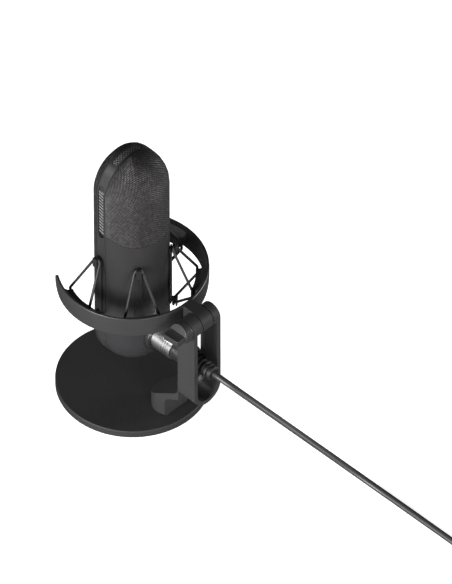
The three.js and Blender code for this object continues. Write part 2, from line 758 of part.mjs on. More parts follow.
// ---- XLR socket and the lead's near connector --------------------------------------------------
const portPlace = [0, 0, portZ];
const pinReach = 14; // how far the pins reach into the connector
const socketFloorY = 12;
const socketInner = plugShellRadius + gap;
const socket = turnedAlong('y', [
  [0, socketFloorY - 6],
  [socketRadius - 1.2, socketFloorY - 6],
  [socketRadius - 1.2, socketFloorY],
  [socketRadius, socketFloorY + 3],
  [socketRadius, socketFaceY - 0.8],
  [socketRadius - 0.8, socketFaceY],
  [socketInner, socketFaceY],
  [socketInner, socketFloorY],
  [0, socketFloorY],
], 28, portPlace);
const pinAngles = [90, 210, 330];
const pinCircle = 4.1;
const pinRadius = 1.2;
const pinPlace = (angle, z) => [pinCircle * Math.cos(angle * degrees), 0, z + pinCircle * Math.sin(angle * degrees)];
let socketBody = socket;
for (const angle of pinAngles) {
  socketBody = socketBody.subtract(rod('y', pinRadius + gap, socketFloorY - 8, socketFloorY + 2,
    pinPlace(angle, portZ), 8));
}
piece('xlr_socket', socketBody, blackPlastic);
pinAngles.forEach((angle, i) => {
  piece(`xlr_pin_${i + 1}`, rod('y', pinRadius, socketFloorY - 5, socketFloorY + pinReach,
    pinPlace(angle, portZ), 8), brassFinish);
});

// Female cable connector: the nose sits in the socket's cup, the handle stands behind it.
const noseRadius = plugShellRadius - 0.5;
const noseFrontY = socketFloorY + 1;
const shellBore = noseRadius - 1.2;
const handleFrontY = socketFaceY + gap;
const femaleShell = turnedAlong('y', [
  [shellBore, noseFrontY],
  [noseRadius - 0.4, noseFrontY],
  [noseRadius, noseFrontY + 0.6],
  [noseRadius, handleFrontY],
  [plugShellRadius, handleFrontY],
  [plugShellRadius, plugRearY],
  [shellBore, plugRearY],
], 28, portPlace);
const latchFront = handleFrontY + 4.5;
const latchLength = 9;
const latchWidth = 4.8;
const latchWindow = block(
  [-latchWidth / 2 - gap, latchFront - gap, portZ - plugShellRadius - 3],
  [latchWidth / 2 + gap, latchFront + latchLength + gap, portZ - shellBore + 1.5],
);
piece('xlr_shell', femaleShell.subtract(latchWindow), chromeFinish);
const insertRearY = latchFront - 1.5;
let femaleInsert = rod('y', shellBore - gap, noseFrontY + 0.5, insertRearY, portPlace, 24);
for (const angle of pinAngles) {
  femaleInsert = femaleInsert.subtract(rod('y', pinRadius + gap, noseFrontY, socketFloorY + pinReach + 1,
    pinPlace(angle, portZ), 8));
}
piece('xlr_insert', femaleInsert, blackPlastic);
piece('xlr_latch', block(
  [-latchWidth / 2, latchFront, portZ - plugShellRadius - 1.2],
  [latchWidth / 2, latchFront + latchLength, portZ - shellBore + 0.6],
), steelFinish);

// Clamp bushing and ribbed boot behind the handle.
const bushingLength = 10;
function bushingProfile(from) {
  return [
    [0, from],
    [bootFrontRadius + 0.5, from],
    [bootFrontRadius, from + bushingLength],
    [0, from + bushingLength],
  ];
}
function bootProfile(from, length) {
  return [
    [0, from],
    [bootFrontRadius - 0.3, from],
    [bootEndRadius + 0.6, from + length - 2.4],
    [bootEndRadius, from + length - 0.6],
    [bootEndRadius - 0.6, from + length],
    [0, from + length],
  ];
}
const bushingFrontY = plugRearY + gap;
const bootFrontY = bushingFrontY + bushingLength + gap;
const bootRearY = bootFrontY + bootLength;
piece('xlr_bushing', turnedAlong('y', bushingProfile(bushingFrontY), 28, portPlace), blackPlastic);
piece('xlr_boot', turnedAlong('y', bootProfile(bootFrontY, bootLength), 20, portPlace), rubberBlack);

// ---- lead --------------------------------------------------------------------------------------
// The lead drops from the boot to the table, runs along it, and is wound up further back.
const cableDrift = -49.3;
const tableZ = cableRadius + 0.15;
const cablePoints = [
  [0, bootRearY + gap, portZ],
  [0, bootRearY + 5, portZ],
  [-1.2, bootRearY + 14, portZ - 1.7],
  [-5, bootRearY + 25, portZ - 7.1],
  [-11.5, bootRearY + 38, portZ - 16.3],
  [-19.6, bootRearY + 52, portZ - 27.7],
  [-28.2, bootRearY + 67, portZ - 39.9],
  [-36.2, bootRearY + 83, portZ - 51.2],
  [-42.6, bootRearY + 99, portZ - 60.3],
  [-46.9, bootRearY + 115, portZ - 66.4],
  [-48.9, bootRearY + 131, tableZ + 0.5],
  [cableDrift, bootRearY + 146, tableZ],
  [cableDrift, bootRearY + 175, tableZ],
  [cableDrift, 323.7, tableZ],
];
const coilEntry = 36.15; // radius at which the lead joins the bottom turns
const coilExit = 38.7; // radius at which it leaves the top turns
const coilX = cableDrift - coilEntry;
const coilY = 348;
const lead = tube(cablePoints, cableRadius, 8, 24);
piece('cable', lead, cableGrey);

const coilHalf = coilBundle;
const coilTall = 10.5;
const coilSection = (inset) => {
  const low = 0.15 + inset;
  const high = low + coilTall - 2 * inset;
  const inner = coilRadius - coilHalf + inset;
  const outer = coilRadius + coilHalf - inset;
  const cut = 3.2;
  return [
    [inner + cut, low],
    [outer - cut, low],
    [outer, low + cut],
    [outer, high - cut],
    [outer - cut, high],
    [inner + cut, high],
    [inner, high - cut],
    [inner, low + cut],
  ];
};
const coilPlace = [coilX, coilY, 0];
const coilOuter = turned(coilSection(0), 36, coilPlace);
const coilCore = turned(coilSection(1.5), 36, coilPlace);
const strapCore = turned(coilSection(1.2), 36, coilPlace);
const strapWidth = 12;
const strapZone = (grow) => block(
  [coilX - 60, coilY - strapWidth / 2 - grow, -1],
  [coilX, coilY + strapWidth / 2 + grow, 40],
);
piece('cable_coil', coilOuter.subtract(strapZone(gap).subtract(coilCore)), cableGrey);
piece('coil_strap', coilOuter.subtract(strapCore).intersect(strapZone(0)), rubberBlack);

// Male connector at the far end, lying on the table beside the coil and pointing along -Y.
const farZ = plugShellRadius + 0.1;
const farX = coilX - coilExit;
const farBootLength = 30;
const farShellLength = 33;
const farCupDepth = 18;
const tailLength = 14;
const coilEdgeY = coilY - 20.3;
const farPlace = [farX, coilEdgeY - tailLength, farZ];
const tailPoints = [0, 5, 9.5, tailLength - gap].map((along) => [farX, coilEdgeY - along, farZ]);
piece('cable_tail', tube(tailPoints, cableRadius, 8, 4), cableGrey);
const towardsTip = (profile) => profile.map(([r, along]) => [r, -along]);
const bootTurned = bootProfile(0, farBootLength).map(([r, along]) => [r, farBootLength - along]);
piece('far_boot', turnedAlong('y', towardsTip(bootTurned), 20, farPlace), rubberBlack);
const farBushing = farBootLength + gap;
const bushingTurned = bushingProfile(0).map(([r, along]) => [r, farBushing + bushingLength - along]);
piece('far_bushing', turnedAlong('y', towardsTip(bushingTurned), 28, farPlace), blackPlastic);
const farShellFrom = farBushing + bushingLength + gap;
const farFace = farShellFrom + farShellLength;
const farFloor = farFace - farCupDepth;
const farShell = turnedAlong('y', towardsTip([
  [shellBore, farShellFrom],
  [plugShellRadius, farShellFrom],
  [plugShellRadius, farFace - 0.6],
  [plugShellRadius - 0.6, farFace],
  [plugShellRadius - 1, farFace],
  [plugShellRadius - 1, farFloor - 4],
  [shellBore, farFloor - 4],
]), 28, farPlace);
piece('far_shell', farShell, chromeFinish);
const farPinPlace = (angle) => [
  farX + pinCircle * Math.cos(angle * degrees),
  farPlace[1],
  farZ + pinCircle * Math.sin(angle * degrees),
];
let farInsert = rod('y', shellBore - gap, -farFloor, -farFloor + 8, farPlace, 24);
for (const angle of pinAngles) {
  farInsert = farInsert.subtract(rod('y', pinRadius + gap, -farFloor - 2, -farFloor + 20,
    farPinPlace(angle), 8));
}
piece('far_insert', farInsert, blackPlastic);
const farPinReach = 12.5;
pinAngles.forEach((angle, i) => {
  piece(`far_pin_${i + 1}`, rod('y', pinRadius, -farFloor - farPinReach, -farFloor + 7,
    farPinPlace(angle), 8), brassFinish);
});

export default group;
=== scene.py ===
import json
import math
import bmesh
import bpy
from mathutils import Matrix, Vector
from mathutils.geometry import interpolate_bezier

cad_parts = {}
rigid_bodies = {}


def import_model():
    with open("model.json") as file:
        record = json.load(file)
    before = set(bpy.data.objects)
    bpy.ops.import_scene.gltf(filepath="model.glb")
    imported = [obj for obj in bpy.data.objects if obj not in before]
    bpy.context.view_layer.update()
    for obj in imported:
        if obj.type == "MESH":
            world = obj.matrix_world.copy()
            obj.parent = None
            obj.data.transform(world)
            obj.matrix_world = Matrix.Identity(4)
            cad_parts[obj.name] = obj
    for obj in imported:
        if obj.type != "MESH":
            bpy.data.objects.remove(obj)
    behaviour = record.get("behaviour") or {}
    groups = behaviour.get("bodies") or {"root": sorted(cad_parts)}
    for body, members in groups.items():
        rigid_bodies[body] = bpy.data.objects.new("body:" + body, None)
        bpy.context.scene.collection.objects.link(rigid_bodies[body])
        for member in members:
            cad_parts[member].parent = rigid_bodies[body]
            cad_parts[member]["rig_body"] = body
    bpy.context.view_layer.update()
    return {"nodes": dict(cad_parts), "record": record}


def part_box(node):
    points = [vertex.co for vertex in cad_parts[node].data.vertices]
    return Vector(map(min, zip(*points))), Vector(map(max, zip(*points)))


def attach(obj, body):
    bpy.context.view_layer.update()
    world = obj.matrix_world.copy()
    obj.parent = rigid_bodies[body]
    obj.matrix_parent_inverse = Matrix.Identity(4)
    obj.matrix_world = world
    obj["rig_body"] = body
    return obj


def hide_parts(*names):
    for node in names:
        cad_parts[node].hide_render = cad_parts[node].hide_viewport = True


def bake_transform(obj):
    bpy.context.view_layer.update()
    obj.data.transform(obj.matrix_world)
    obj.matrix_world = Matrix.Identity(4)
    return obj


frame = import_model()
nodes = frame["nodes"]
mm = 0.001
touching = 1e-6  # corners closer than this, in metres, are one corner
gap = 0.3  # mm left between pieces that meet

bodyForm = {"radius": 0.0289, "corner": 0.0174, "side": -0.0073, "low": 0.06865, "high": 0.21765}


# shader maths
class Value:
    def __init__(self, shader, socket):
        self.shader = shader
        self.socket = socket

    def maths(self, operation, *others):
        return self.shader.maths(operation, self, *others)

    def __add__(self, other):
        return self.maths("ADD", other)

    def __radd__(self, other):
        return self.maths("ADD", other)

    def __sub__(self, other):
        return self.maths("SUBTRACT", other)

    def __rsub__(self, other):
        return self.shader.maths("SUBTRACT", other, self)

    def __mul__(self, other):
        return self.maths("MULTIPLY", other)

    def __rmul__(self, other):
        return self.maths("MULTIPLY", other)

    def __truediv__(self, other):
        return self.maths("DIVIDE", other)

    def __rtruediv__(self, other):
        return self.shader.maths("DIVIDE", other, self)

    def __abs__(self):
        return self.maths("ABSOLUTE")


class Shader:
    def __init__(self, name):
        self.material = bpy.data.materials.new(name)
        self.material.use_nodes = True
        self.tree = self.material.node_tree
        self.tree.nodes.clear()

    def node(self, kind, settings=None, inputs=None, output=0):
        made = self.tree.nodes.new(kind)
        for key, value in (settings or {}).items():
            setattr(made, key, value)
        for key, value in (inputs or {}).items():
            if isinstance(value, Value):
                self.tree.links.new(value.socket, made.inputs[key])
            else:
                made.inputs[key].default_value = value
        return Value(self, made.outputs[output]) if made.outputs else None

    def maths(self, operation, *values):
        return self.node("ShaderNodeMath", {"operation": operation}, dict(enumerate(values)))

    def place(self):
        return self.node("ShaderNodeTexCoord", output="Object")

    def split(self, vector):
        parted = self.node("ShaderNodeSeparateXYZ", None, {0: vector}).socket.node
        return [Value(self, output) for output in parted.outputs]

    def joined(self, x, y, z):
        return self.node("ShaderNodeCombineXYZ", None, {0: x, 1: y, 2: z})

    def noise(self, size, detail=3, vector=None):  # size of one lump, in metres
        return self.node("ShaderNodeTexNoise", None,
                         {"Vector": vector or self.place(), "Scale": 1 / size, "Detail": detail})

    def between(self, value, low, high):  # 0 below low, 1 above high, smooth in between
        return self.node("ShaderNodeMapRange", {"interpolation_type": "SMOOTHSTEP"},
                         {"Value": value, "From Min": low, "From Max": high})

    def mixed(self, amount, first, second):
        first, second = [(*c, 1) if isinstance(c, tuple) else c for c in (first, second)]
        return self.node("ShaderNodeMix", {"data_type": "RGBA"}, {0: amount, 6: first, 7: second}, 2)

    def bump(self, height, distance):
        return self.node("ShaderNodeBump", None, {"Height": height, "Distance": distance, "Strength": 1.0})

    def finish(self, inputs):
        surface = self.node("ShaderNodeBsdfPrincipled", None, inputs)
        self.node("ShaderNodeOutputMaterial", None, {"Surface": surface})
        return self.material


def paintOf(name, dark, light, rough, spread, grain, depth):
    # a sprayed or moulded surface: fine grain, slow cloudiness, small changes of gloss
    s = Shader(name)
    fine = s.noise(grain * mm, 4)
    slow = s.noise(30 * mm, 2)
    tone = fine * 0.55 + slow * 0.45
    return s.finish({
        "Base Color": s.mixed(tone, dark, light),
        "Roughness": rough - spread / 2 + spread * (fine * 0.5 + slow * 0.5),
        "Normal": s.bump(fine, depth * mm),
    })


def plateTexture():
    s = Shader("plateTexture")
    pebbles = s.node("ShaderNodeTexVoronoi", None, {"Vector": s.place(), "Scale": 1 / (0.75 * mm)})
    fine = s.noise(0.35 * mm, 4)
    slow = s.noise(30 * mm, 2)
    height = pebbles * 0.6 + fine * 0.4
    return s.finish({
        "Base Color": s.mixed(height * 0.7 + slow * 0.3, (0.006, 0.006, 0.0062), (0.021, 0.021, 0.0215)),
        "Roughness": 0.5 + 0.2 * fine,
        "Normal": s.bump(height, 0.10 * mm),
    })


def bodyWrap(s):
    # distances measured over the body's skin: round it and up it, over the dome as well
    radius, centre = bodyForm["radius"], bodyForm["high"]
    x, y, z = s.split(s.place())
    reach = (x * x + y * y).maths("SQRT")
    around = reach * x.maths("ARCTAN2", abs(y))
    over = (z - centre).maths("MAXIMUM", 0.0).maths("ARCTAN2", reach)
    return around, z.maths("MINIMUM", centre) + radius * over


def meshWire():
    s = Shader("meshWire")
    pitch = 2.05 * mm
    around, up = bodyWrap(s)
    twill = abs(((around * 0.85 - up) * (math.pi / pitch)).maths("SINE"))
    cross = abs(((around + up * 0.6) * (math.pi / (pitch * 1.15))).maths("SINE"))
    hole = twill * (cross * 0.6 + 0.4)
    speck = s.noise(2.4 * mm, 2)
    slow = s.noise(0.012, 2)
    gap = s.between(hole, 0.12, 0.60)
    wire = s.mixed(s.between(speck, 0.3, 0.75), (0.026, 0.024, 0.0245), (0.105, 0.096, 0.097))
    return s.finish({
        # painted shade: the openings between the wires are coloured nearly black
        "Base Color": s.mixed(gap, wire, (0.004, 0.0038, 0.004)),
        "Metallic": 0.75 - 0.75 * gap,
        "Roughness": 0.38 + 0.25 * gap + 0.1 * slow,
        "Normal": s.bump(1 - hole, 0.35 * mm),
    })


def ventSlats():
    # the bars are painted light grey as a painted highlight, and the strip behind them is painted nearly
    # black as painted shade
    s = Shader("ventSlats")
    x = s.split(s.place())[0]
    # painted shade: the sunk strip behind the bars is coloured nearly black
    stripShade = 1 - s.between(abs(x), 0.0276, 0.0281)
    fine = s.noise(0.5 * mm, 3)
    # painted highlight: the bars are coloured light grey, far lighter than the body's paint
    bar = s.mixed(fine, (0.10, 0.10, 0.101), (0.15, 0.15, 0.151))
    return s.finish({
        "Base Color": s.mixed(stripShade, bar, (0.002, 0.002, 0.002)),
        "Roughness": 0.34 + 0.15 * fine + 0.3 * stripShade,
        "Normal": s.bump(fine, 0.01 * mm),
    })


def ventHoles():
    s = Shader("ventHoles")
    diagonal = s.node("ShaderNodeMapping", None, {"Vector": s.place(), "Rotation": (0, 0, math.pi / 4)})
    x, y = s.split(diagonal)[:2]
    pitch = 1.9 * mm
    dots = (x * (math.pi / pitch)).maths("SINE") * (y * (math.pi / pitch)).maths("SINE")
    hole = s.between(abs(dots), 0.28, 0.5)
    fine = s.noise(0.4 * mm, 3)
    return s.finish({
        # painted shade: the holes are coloured nearly black
        "Base Color": s.mixed(hole, (0.10, 0.10, 0.10), (0.002, 0.002, 0.002)),
        "Roughness": 0.38 + 0.2 * fine,
        "Normal": s.bump(1 - hole + fine * 0.05, 0.5 * mm),
    })


def metalOf(name, dark, light, rough, spread, grain, depth, rings=()):
    # turned metal: fine lines round the piece, soft stains, and grooves at the given places along Y, with
    # painted shade darkening the grooves
    s = Shader(name)
    x, along, z = s.split(s.place())
    stretched = s.joined(x * 0.04, along, z * 0.04)
    lines = s.noise(grain * mm, 2, stretched)
    slow = s.noise(0.006, 2)
    height = lines * 0.3
    groove = 0.0
    for at in rings:
        groove = (1 - s.between(abs(along - at), 0.12 * mm, 0.32 * mm)).maths("MAXIMUM", groove)
    if rings:
        height = height - groove * 3
    tone = s.mixed(lines * 0.5 + slow * 0.5, dark, light)
    # painted shade: the grooves are coloured dark
    if rings:
        tone = s.mixed(groove * 0.8, tone, (0.03, 0.03, 0.03))
    return s.finish({
        "Base Color": tone,
        "Metallic": 1.0,
        "Roughness": rough + spread * (lines * 0.5 + slow * 0.5),
        "Normal": s.bump(height, depth * mm),
    })


def boardFinish():
    s = Shader("boardFinish")
    x = s.split(s.place())[0]
    tracks = abs((x * (math.pi / (2.2 * mm)) + s.noise(0.006, 1) * 6).maths("SINE"))
    line = 1 - s.between(tracks, 0.15, 0.3)
    fine = s.noise(0.8 * mm, 2)
    return s.finish({
        "Base Color": s.mixed(line, (0.010, 0.055, 0.022), (0.02, 0.11, 0.045)),
        "Roughness": 0.3 + 0.2 * fine,
        "Normal": s.bump(line + fine * 0.2, 0.05 * mm),
    })


def strapCloth():
    s = Shader("strapCloth")
    x, y = s.split(s.place())[:2]
    pitch = 0.9 * mm
    weave = (x * (math.pi / pitch)).maths("SINE") * (y * (math.pi / pitch)).maths("SINE")
    fuzz = s.noise(0.25 * mm, 3)
    return s.finish({
        "Base Color": s.mixed(weave * 0.4 + 0.3 + fuzz * 0.3, (0.010, 0.010, 0.010), (0.045, 0.045, 0.046)),
        "Roughness": 0.75 + 0.2 * fuzz,
        "Normal": s.bump(weave * 0.6 + fuzz * 0.4, 0.25 * mm),
    })


nearGrooves = (0.0402, 0.0424, 0.0446)  # where the shells' grooves lie along Y
farGrooves = (0.2700, 0.2678, 0.2656)
finishes = {
    "base_paint": plateTexture(),
    "stand_paint": paintOf("standPaint", (0.019, 0.019, 0.0195), (0.030, 0.030, 0.031),
                      0.38, 0.12, 0.45, 0.014),
    "ring_shell": paintOf("ringShell", (0.017, 0.017, 0.0175), (0.027, 0.027, 0.028),
                      0.40, 0.12, 0.45, 0.014),
    "body_paint": paintOf("bodyPaint", (0.014, 0.014, 0.0145), (0.023, 0.023, 0.024),
                      0.34, 0.10, 0.40, 0.010),
    "mesh_wire": meshWire(),
    "black_plastic": paintOf("blackPlastic", (0.010, 0.010, 0.0105), (0.018, 0.018, 0.018),
                      0.34, 0.15, 0.40, 0.012),
    "soft_rubber": paintOf("softRubber", (0.005, 0.005, 0.005), (0.010, 0.010, 0.010),
                      0.56, 0.16, 0.45, 0.02),
    "cable_jacket": paintOf("cableJacket", (0.020, 0.019, 0.020), (0.034, 0.033, 0.034),
                      0.42, 0.14, 0.5, 0.02),
    "steel": metalOf("steel", (0.35, 0.35, 0.36), (0.6, 0.6, 0.61),
                      0.26, 0.15, 0.12, 0.006),
    "chrome": metalOf("chrome", (0.80, 0.80, 0.81), (0.95, 0.95, 0.95), 0.26, 0.06, 2.5, 0.002,
                      rings=nearGrooves),
    "board": boardFinish(),
    "brass": metalOf("brass", (0.50, 0.34, 0.12), (0.78, 0.58, 0.25),
                      0.24, 0.15, 0.15, 0.006),
    "strap_cloth": strapCloth(),
    "slats": ventSlats(),
    "holes": ventHoles(),
    "farChrome": metalOf("farChrome", (0.80, 0.80, 0.81), (0.95, 0.95, 0.95), 0.26, 0.06, 2.5, 0.002,
                         rings=farGrooves),
}
print("finishes made:", len(finishes))

slotOf = {}
for entry in frame["record"]["subparts"]:
    slotOf[entry["node"]] = entry["material_slot"]
for name, cadPiece in nodes.items():
    cadPiece.data.materials.clear()
    cadPiece.data.materials.append(finishes[slotOf.get(name, "black_plastic")])
print("slots found for nodes:", len(slotOf), "of", len(nodes))

bodyOf = {name: piece["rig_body"] for name, piece in nodes.items()}


# making pieces
def settled(bm, name, finish, angle=30):
    mesh = bpy.data.meshes.new(name)
    bm.to_mesh(mesh)
    bm.free()
    mesh.materials.append(finish)
    mesh.shade_smooth()
    mesh.set_sharp_from_angle(angle=math.radians(angle))
    piece = bpy.data.objects.new(name, mesh)
    bpy.context.scene.collection.objects.link(piece)
    return piece


def softEdges(piece, width):
    bevel = piece.modifiers.new("softEdges", "BEVEL")
    bevel.width = width * mm
    bevel.segments = 2
    bevel.limit_method = "ANGLE"
    bevel.angle_limit = math.radians(35)
    bevel.harden_normals = False
    bevel.use_clamp_overlap = True


def mergedCopy(node, flatten=True):
    # a CAD node's mesh with its corners joined and the cuts across its flat faces taken out
    bm = bmesh.new()
    bm.from_mesh(nodes[node].data)
    bmesh.ops.remove_doubles(bm, verts=bm.verts, dist=touching)
    if flatten:
        bmesh.ops.dissolve_limit(bm, angle_limit=math.radians(0.4), verts=bm.verts, edges=bm.edges,
                                 use_dissolve_boundaries=False, delimit=set())
    return bm


def standsFor(piece, node, rides=True):
    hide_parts(node)
    if rides:
        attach(piece, bodyOf[node])
    return piece


def recast(node, finish=None, angle=30, edge=0.0, rides=True, flatten=True):
    # a clean, smooth-shaded copy of a CAD node with softened edges
    look = finishes[finish or slotOf.get(node, "black_plastic")]
    piece = settled(mergedCopy(node, flatten), node + "_skin", look, angle)
    if edge:
        softEdges(piece, edge)
    return standsFor(piece, node, rides)


def spun(name, outline, axis, place, node, edge, steps=96, angle=30):
    # outline is (radius, along) in mm, spun round the axis and set at place
    about = Vector((0, 1, 0) if axis == "y" else (0, 0, 1))
    bm = bmesh.new()
    verts = [bm.verts.new(Vector((r, 0, 0)) * mm + about * a * mm) for r, a in outline]
    edges = [bm.edges.new(pair) for pair in zip(verts, verts[1:])]
    bmesh.ops.spin(bm, geom=verts + edges, cent=(0, 0, 0), axis=about, dvec=(0, 0, 0),
                   angle=2 * math.pi, steps=steps, use_merge=True, use_duplicate=False)
    bmesh.ops.remove_doubles(bm, verts=bm.verts, dist=touching)
    bmesh.ops.recalc_face_normals(bm, faces=bm.faces)
    bmesh.ops.translate(bm, verts=bm.verts, vec=Vector(place) * mm)
    piece = settled(bm, name, finishes[slotOf[node]], angle)
    softEdges(piece, edge)
    return standsFor(piece, node)


def bodyNormal(p, k=bodyForm):
    # the body's skin: its plan outline, turned over into a half-round head and foot
    over = max(p.z - k["high"], 0) + min(p.z - k["low"], 0)
    sideways = Vector((p.x, 0, over))
    reach = sideways.length
    sideways = sideways.normalized() if reach > 1e-9 else Vector((1, 0, 0))
    if p.y >= 0:
        flat = Vector((reach, p.y))
    elif p.y > k["side"]:
        flat = Vector((1, 0))
    else:
        flat = Vector((max(reach - k["corner"], 0), min(p.y - k["side"], -1e-6)))
    flat.normalize()
    return (sideways * flat[0] + Vector((0, flat[1], 0))).normalized()


def trueNormals(piece, normalAt, tolerance=24):
    # shade a faceted skin with the normals of the curved surface that it follows
    mesh = piece.data
    limit = math.cos(math.radians(tolerance))
    normals = []
    for face in mesh.polygons:
        for corner in face.vertices:
            wanted = normalAt(mesh.vertices[corner].co)
            same = wanted.dot(face.normal)
            normals.append(wanted if same > limit else -wanted if same < -limit else face.normal.copy())
    mesh.normals_split_custom_set(normals)
    return piece


# camera
camera = {
    "centre": Vector((-0.0830, 0.0186, 0.0527)),
    "right": Vector((-0.7034, 0.7108, 0)),
    "up": Vector((-0.504, -0.4987, 0.705)),
    "toward": Vector((0.501, 0.496, 0.709)),
    "lens": 900,
    "reach": 12.478,  # metres away for each metre of lens
}
lensData = bpy.data.cameras.new("viewCamera")
lensData.lens = camera["lens"]
lensData.sensor_width = 36
lensData.clip_start = 0.5
lensData.clip_end = 60
viewCamera = bpy.data.objects.new("viewCamera", lensData)
bpy.context.scene.collection.objects.link(viewCamera)
back = camera["toward"].normalized()
right = (camera["right"] - back * camera["right"].dot(back)).normalized()
up = back.cross(right)
turn = Matrix((right, up, back)).transposed().to_4x4()
turn.translation = camera["centre"] + back * (camera["reach"] * camera["lens"] / 1000)
viewCamera.matrix_world = turn
bpy.context.scene.camera = viewCamera
print("camera set")

# lead
leadSizes = {
    "radius": 2.55, "exitY": 88.2, "exitZ": 72.45, "drift": -49.3, "tableZ": 2.7,
    "coilX": -85.45, "coilY": 348, "outer": 36.15, "inner": 20.85, "farX": -124.15, "farY": 313.7,
    "farZ": 9.95, "turns": 7.5, "perTurn": 24, "resolution": 4,
}


def leadPoints(k):
    bootY, portZ, lay = k["exitY"] - gap, k["exitZ"], k["tableZ"]
    drift = k["drift"]
    points = [(0, bootY + gap, portZ), (0, bootY + 5, portZ), (-1.2, bootY + 14, portZ - 1.7),
              (-5, bootY + 25, portZ - 7.1), (-11.5, bootY + 38, portZ - 16.3),
              (-19.6, bootY + 52, portZ - 27.7), (-28.2, bootY + 67, portZ - 39.9),
              (-36.2, bootY + 83, portZ - 51.2), (-42.6, bootY + 99, portZ - 60.3),
              (-46.9, bootY + 115, portZ - 66.4), (-48.9, bootY + 131, lay + 0.5),
              (drift, bootY + 146, lay), (drift, bootY + 175, lay),
              (drift, 284, lay), (drift, 305, lay), (drift, 330, lay)]
    pitch = 2 * k["radius"]
    for i in range(round(k["turns"] * k["perTurn"]) + 1):
        t = i / k["perTurn"]
        if t <= 3:  # bottom layer, winding in
            r, z = k["outer"] - pitch * t, lay
        elif t < 4:  # innermost turn climbs over itself
            s = t - 3
            r, z = k["inner"], lay + pitch * math.sqrt(1 - (1 - s) ** 2)
        else:  # top layer, winding out
            r, z = k["inner"] + pitch * (t - 4), lay + pitch
        a = 2 * math.pi * t
        points.append((k["coilX"] + r * math.cos(a), k["coilY"] + r * math.sin(a), z))
    rise = k["farZ"] - lay - pitch
    for share in (0.3, 0.6, 0.85, 1):  # the tail leaves the coil and heads back to its connector
        ease = share * share * (3 - 2 * share)
        y = k["coilY"] + (k["farY"] + gap - k["coilY"]) * share
        points.append((k["farX"], y, lay + pitch + rise * ease))
    return [Vector(p) * mm for p in points]


def smoothLine(points, resolution):
    # handles along the line through each point's neighbours; returns curve handles and the dense line
    tangents = []
    for i in range(len(points)):
        before, after = points[max(i - 1, 0)], points[min(i + 1, len(points) - 1)]
        tangents.append((after - before).normalized())
    handles = []
    for i, p in enumerate(points):
        lead = (p - points[i - 1]).length / 3 if i else 0
        follow = (points[i + 1] - p).length / 3 if i + 1 < len(points) else 0
        handles.append((p - tangents[i] * lead, p + tangents[i] * follow))
    dense = []
    for i in range(len(points) - 1):
        part = interpolate_bezier(points[i], handles[i][1], handles[i + 1][0], points[i + 1], resolution + 1)
        dense += part if i == 0 else part[1:]
    return handles, dense


points = leadPoints(leadSizes)
handles, dense = smoothLine(points, leadSizes["resolution"])
curve = bpy.data.curves.new("leadLine", "CURVE")
curve.dimensions = "3D"
curve.bevel_depth = leadSizes["radius"] * mm
curve.bevel_resolution = 4
curve.resolution_u = leadSizes["resolution"]
curve.use_fill_caps = True
spline = curve.splines.new("BEZIER")
spline.bezier_points.add(len(points) - 1)
for knot, p, (left, rightHandle) in zip(spline.bezier_points, points, handles):
    knot.handle_left_type = knot.handle_right_type = "FREE"
    knot.co, knot.handle_left, knot.handle_right = p, left, rightHandle
carrier = bpy.data.objects.new("leadLine", curve)
bpy.context.scene.collection.objects.link(carrier)
bpy.context.view_layer.update()
leadMesh = bpy.data.meshes.new_from_object(carrier.evaluated_get(bpy.context.evaluated_depsgraph_get()))
bpy.data.objects.remove(carrier)
leadMesh.materials.clear()
leadMesh.materials.append(finishes["cable_jacket"])
leadMesh.shade_smooth()
leadCord = bpy.data.objects.new("lead_cord", leadMesh)
bpy.context.scene.collection.objects.link(leadCord)
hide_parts("cable", "cable_coil", "cable_tail")
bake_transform(leadCord)
leadLength = sum((b - a).length for a, b in zip(dense, dense[1:]))
print("lead laid, length", round(leadLength, 4))

# floor and lights
room = {"paper": 0.86, "glow": 0.8, "floorSize": 8, "haze": 0.07, "aim": (0, 0.02, 0.12)}
floorShader = Shader("floorPaper")
paper = floorShader.node("ShaderNodeBsdfDiffuse", None, {"Color": (*[room["paper"]] * 3, 1)})
glow = floorShader.node("ShaderNodeEmission", None, {"Color": (1, 1, 1, 1), "Strength": room["glow"]})
both = floorShader.node("ShaderNodeAddShader", None, {0: paper, 1: glow})
floorShader.node("ShaderNodeOutputMaterial", None, {"Surface": both})
bm = bmesh.new()
bmesh.ops.create_grid(bm, x_segments=1, y_segments=1, size=room["floorSize"])
floorPiece = settled(bm, "studioFloor", floorShader.material)
floorPiece.visible_glossy = False  # the dark finishes mirror the dim room, not the bright paper

bpy.context.scene.view_settings.view_transform = "Standard"
world = bpy.data.worlds.new("studioRoom")
bpy.context.scene.world = world
world.use_nodes = True
world.node_tree.nodes["Background"].inputs[0].default_value = (1, 1, 1, 1)
world.node_tree.nodes["Background"].inputs[1].default_value = room["haze"]

studio = {
    "overhead": ((0.9, -0.6, 1.0), 0.5, 3),
    "keyLeft": ((1.35, 0.05, 0.34), 0.6, 38),
    "frontLow": ((0.50, 1.20, 0.28), 0.5, 13),
    "rimRight": ((-1.15, 0.75, 0.22), 0.40, 12),
}
for name, (spot, size, power) in studio.items():
    data = bpy.data.lights.new(name, "AREA")
    data.shape = "SQUARE"
    data.size = size
    data.energy = power
    lamp = bpy.data.objects.new(name, data)
    bpy.context.scene.collection.objects.link(lamp)
    lamp.location = spot
    aim = Vector(room["aim"]) - Vector(spot)
    lamp.rotation_euler = aim.to_track_quat("-Z", "Y").to_euler()
print("stage and lights set")

# stand
plate = {"radius": 59.9, "height": 7.05, "foot": 0.5, "chamfer": 0.55}
spun("base_plate_disc", [
    (0, plate["foot"]), (plate["radius"] - 0.5, plate["foot"]), (plate["radius"], plate["foot"] + 0.5),
    (plate["radius"], plate["height"] - plate["chamfer"]),
    (plate["radius"] - plate["chamfer"], plate["height"]), (0, plate["height"]),
], "z", (0, 0, 0), "base_plate", edge=0.12, steps=256, angle=25)
recast("stand_bracket", edge=0.35)
recast("hinge_knob", edge=0.3)
recast("hinge_nut", edge=0.15)
for plain in ("hinge_washer_left", "hinge_washer_right", "hinge_stud"):
    recast(plain)
print("stand made")

